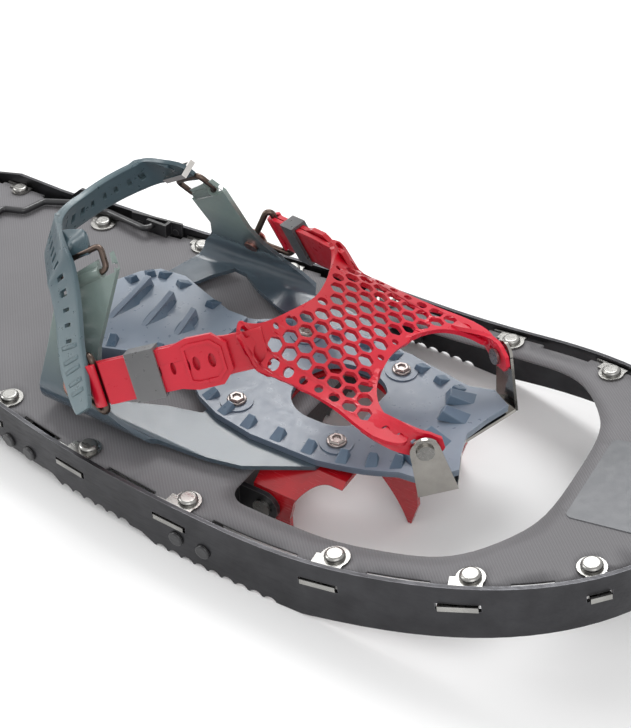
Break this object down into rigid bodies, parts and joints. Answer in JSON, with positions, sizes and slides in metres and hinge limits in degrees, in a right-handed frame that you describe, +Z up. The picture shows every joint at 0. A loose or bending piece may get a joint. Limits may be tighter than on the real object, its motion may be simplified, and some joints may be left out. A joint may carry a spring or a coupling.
{
  "type": "snowshoe",
  "caption": "Oval traction-rail snowshoe with a clipped fabric deck, a pivoting urethane binding over a clawed crampon, and a flip-up wire heel lift.",
  "frame": {"origin": "on the ground under the middle of the frame", "axes": "+X to the toe along the longest extent, +Y to the wearer's left, +Z up"},
  "size_m": [0.6352, 0.2062, 0.1146],
  "materials": {
    "rail": "near-black satin anodised",
    "black_steel": "black powder coat",
    "bright_steel": "satin stainless",
    "deck_fabric": "coated nylon, fine twill",
    "label": "matt moulded rubber",
    "red_paint": "glossy red paint",
    "footbed_tpu": "cloudy blue-grey urethane",
    "wing_tpu": "cloudy slate-green urethane",
    "strap_tpu": "dark slate urethane",
    "harness_tpu": "saturated red urethane",
    "keeper_tpu": "dark grey urethane",
    "bronze_wire": "bronze-brown",
    "polished": "polished",
    "bronze_rivet": "reddish bronze"
  },
  "bodies": {
    "frame": {"frame_rail": "rail", "front_crossbar": "black_steel", "rear_crossbar": "black_steel", "crossbar_rivets": "black_steel", "pivot_pin_left": "bright_steel", "pivot_pin_right": "bright_steel", "deck": "deck_fabric", "label_patch": "label", "deck_clips": "bright_steel", "deck_rivets": "bright_steel", "heel_lift_bracket_left": "black_steel", "heel_lift_bracket_right": "black_steel", "bracket_rivets": "black_steel"},
    "binding": {"crampon": "red_paint", "harness_wing_left": "wing_tpu", "harness_wing_right": "wing_tpu", "footbed": "footbed_tpu", "binding_bolts": "bright_steel", "toe_bracket": "bright_steel", "toe_rivet_left": "bright_steel", "toe_rivet_right": "bright_steel", "toe_harness": "harness_tpu", "strap_loop_left": "bronze_wire", "strap_loop_right": "bronze_wire", "loop_rivet_left": "bronze_rivet", "loop_rivet_right": "bronze_rivet", "heel_ring_left": "bronze_wire", "heel_ring_right": "bronze_wire", "heel_strap": "strap_tpu", "heel_buckle": "polished"},
    "heel_lift": {"heel_lift_bail": "black_steel"},
    "keeper_left": {"strap_keeper_left": "keeper_tpu"},
    "keeper_right": {"strap_keeper_right": "keeper_tpu"}
  },
  "joints": [
    {"name": "binding_pivot", "type": "hinge", "parent": "frame", "child": "binding", "pos_m": [0.1275, 0, 0.012], "axis": [0, 1, 0], "range_deg": [0, 70]},
    {"name": "heel_lift", "type": "hinge", "parent": "frame", "child": "heel_lift", "pos_m": [-0.0455, 0, 0.0334], "axis": [0, 1, 0], "range_deg": [0, 100]},
    {"name": "keeper_slide_left", "type": "slide", "parent": "binding", "child": "keeper_left", "axis": [0.8263, -0.4784, 0.2972], "range_m": [-0.008, 0.008]},
    {"name": "keeper_slide_right", "type": "slide", "parent": "binding", "child": "keeper_right", "axis": [0.8263, 0.4784, 0.2972], "range_m": [-0.008, 0.008]}
  ]
}
